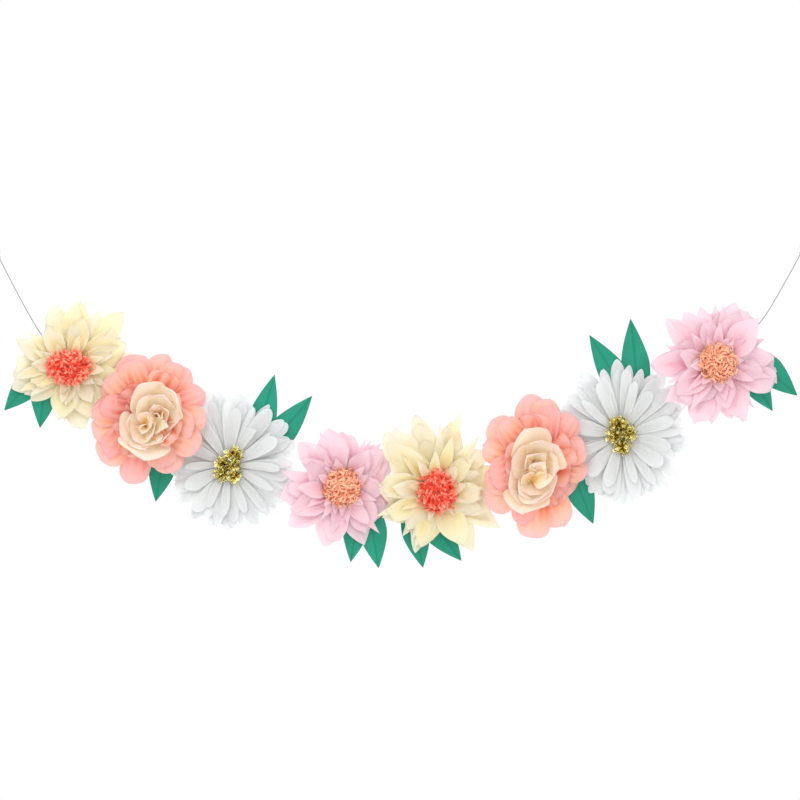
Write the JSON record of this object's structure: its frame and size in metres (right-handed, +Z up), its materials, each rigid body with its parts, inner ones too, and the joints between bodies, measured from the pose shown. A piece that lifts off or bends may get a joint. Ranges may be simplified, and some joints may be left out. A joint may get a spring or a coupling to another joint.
{
  "type": "paper flower garland",
  "caption": "Hanging garland of layered tissue-paper dahlias, peonies and daisies with folded card leaves, glued on card discs along a cotton string with a tied hanging loop at each end",
  "frame": {"origin": "centre of the left hanging loop, where a hook or nail passes through it; the garland hangs below and to the right", "axes": "+X runs along the garland to the right hanging loop, +Z is up, and the flowers face -Y with the string and card discs at their backs"},
  "size_m": [1.553, 0.0855, 0.6198],
  "materials": {
    "cream_tissue": "matt crinkled tissue, pale cream, yellower in the folds",
    "coral_fringe": "matt fringed tissue, coral red with pale pink tips",
    "pink_tissue": "matt crinkled tissue, pale pink, deeper in the folds",
    "orange_fringe": "matt fringed tissue, soft orange",
    "white_tissue": "matt pleated tissue, white",
    "gold_foil": "bright crinkled gold foil paper",
    "coral_tissue": "matt crinkled tissue, coral to peach",
    "bud_tissue": "matt crinkled tissue, warm cream",
    "green_card": "matt coloured card, sea green",
    "backing_card": "matt uncoated card, off-white",
    "tab_paper": "matt paper strip, off-white",
    "cotton_string": "soft twisted cotton, pale grey-white"
  },
  "bodies": {
    "root": {"backing_discs": "backing_card", "cream_dahlia_left_fringed_centre": "coral_fringe", "cream_dahlia_left_inner_petals": "cream_tissue", "cream_dahlia_left_outer_petals": "cream_tissue", "cream_dahlia_left_second_petals": "cream_tissue", "cream_dahlia_left_third_petals": "cream_tissue", "cream_dahlia_right_fringed_centre": "coral_fringe", "cream_dahlia_right_inner_petals": "cream_tissue", "cream_dahlia_right_outer_petals": "cream_tissue", "cream_dahlia_right_second_petals": "cream_tissue", "cream_dahlia_right_third_petals": "cream_tissue", "daisy_left_foil_centre": "gold_foil", "daisy_left_inner_petals": "white_tissue", "daisy_left_middle_petals": "white_tissue", "daisy_left_outer_petals": "white_tissue", "daisy_right_foil_centre": "gold_foil", "daisy_right_inner_petals": "white_tissue", "daisy_right_middle_petals": "white_tissue", "daisy_right_outer_petals": "white_tissue", "leaf_1": "green_card", "leaf_10": "green_card", "leaf_11": "green_card", "leaf_12": "green_card", "leaf_13": "green_card", "leaf_14": "green_card", "leaf_2": "green_card", "leaf_3": "green_card", "leaf_4": "green_card", "leaf_5": "green_card", "leaf_6": "green_card", "leaf_7": "green_card", "leaf_8": "green_card", "leaf_9": "green_card", "left_hanging_loop": "cotton_string", "peony_left_cupped_bud": "bud_tissue", "peony_left_inner_petals": "coral_tissue", "peony_left_outer_petals": "coral_tissue", "peony_left_second_petals": "coral_tissue", "peony_left_third_petals": "coral_tissue", "peony_right_cupped_bud": "bud_tissue", "peony_right_inner_petals": "coral_tissue", "peony_right_outer_petals": "coral_tissue", "peony_right_second_petals": "coral_tissue", "peony_right_third_petals": "coral_tissue", "pink_dahlia_left_fringed_centre": "orange_fringe", "pink_dahlia_left_inner_petals": "pink_tissue", "pink_dahlia_left_outer_petals": "pink_tissue", "pink_dahlia_left_second_petals": "pink_tissue", "pink_dahlia_left_third_petals": "pink_tissue", "pink_dahlia_right_fringed_centre": "orange_fringe", "pink_dahlia_right_inner_petals": "pink_tissue", "pink_dahlia_right_outer_petals": "pink_tissue", "pink_dahlia_right_second_petals": "pink_tissue", "pink_dahlia_right_third_petals": "pink_tissue", "right_hanging_loop": "cotton_string", "string": "cotton_string", "string_tabs": "tab_paper"}
  },
  "joints": []
}
